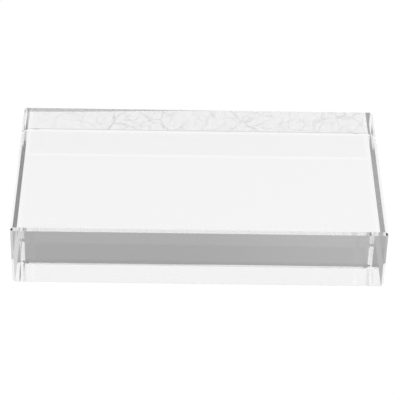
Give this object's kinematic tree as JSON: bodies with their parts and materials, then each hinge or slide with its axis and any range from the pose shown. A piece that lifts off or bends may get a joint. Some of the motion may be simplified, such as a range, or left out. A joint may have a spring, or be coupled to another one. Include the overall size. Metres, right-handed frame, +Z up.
{
  "type": "clear glass display block",
  "caption": "Low rectangular clear glass block with fine polished chamfers on every edge, to stand cards or coins on, with a thin clear peel-off film on its rear face.",
  "frame": {"origin": "centre of the glass block's flat base, on the surface it stands on", "axes": "+X along the block's length, +Y from the front face towards the rear face that carries the film, +Z up"},
  "size_m": [0.0888, 0.0509, 0.0164],
  "materials": {
    "clear_glass": "polished optical crown glass, refractive index 1.52, clear, small polished chamfers",
    "clear_film": "thin clear polyethylene film with fine branching creases, clings to the glass"
  },
  "bodies": {
    "block": {"glass_block": "clear_glass"},
    "film": {"rear_film": "clear_film"}
  },
  "joints": [
    {"name": "film_peel", "type": "slide", "parent": "block", "child": "film", "axis": [0, 1, 0], "range_m": [0, 0.025]}
  ]
}
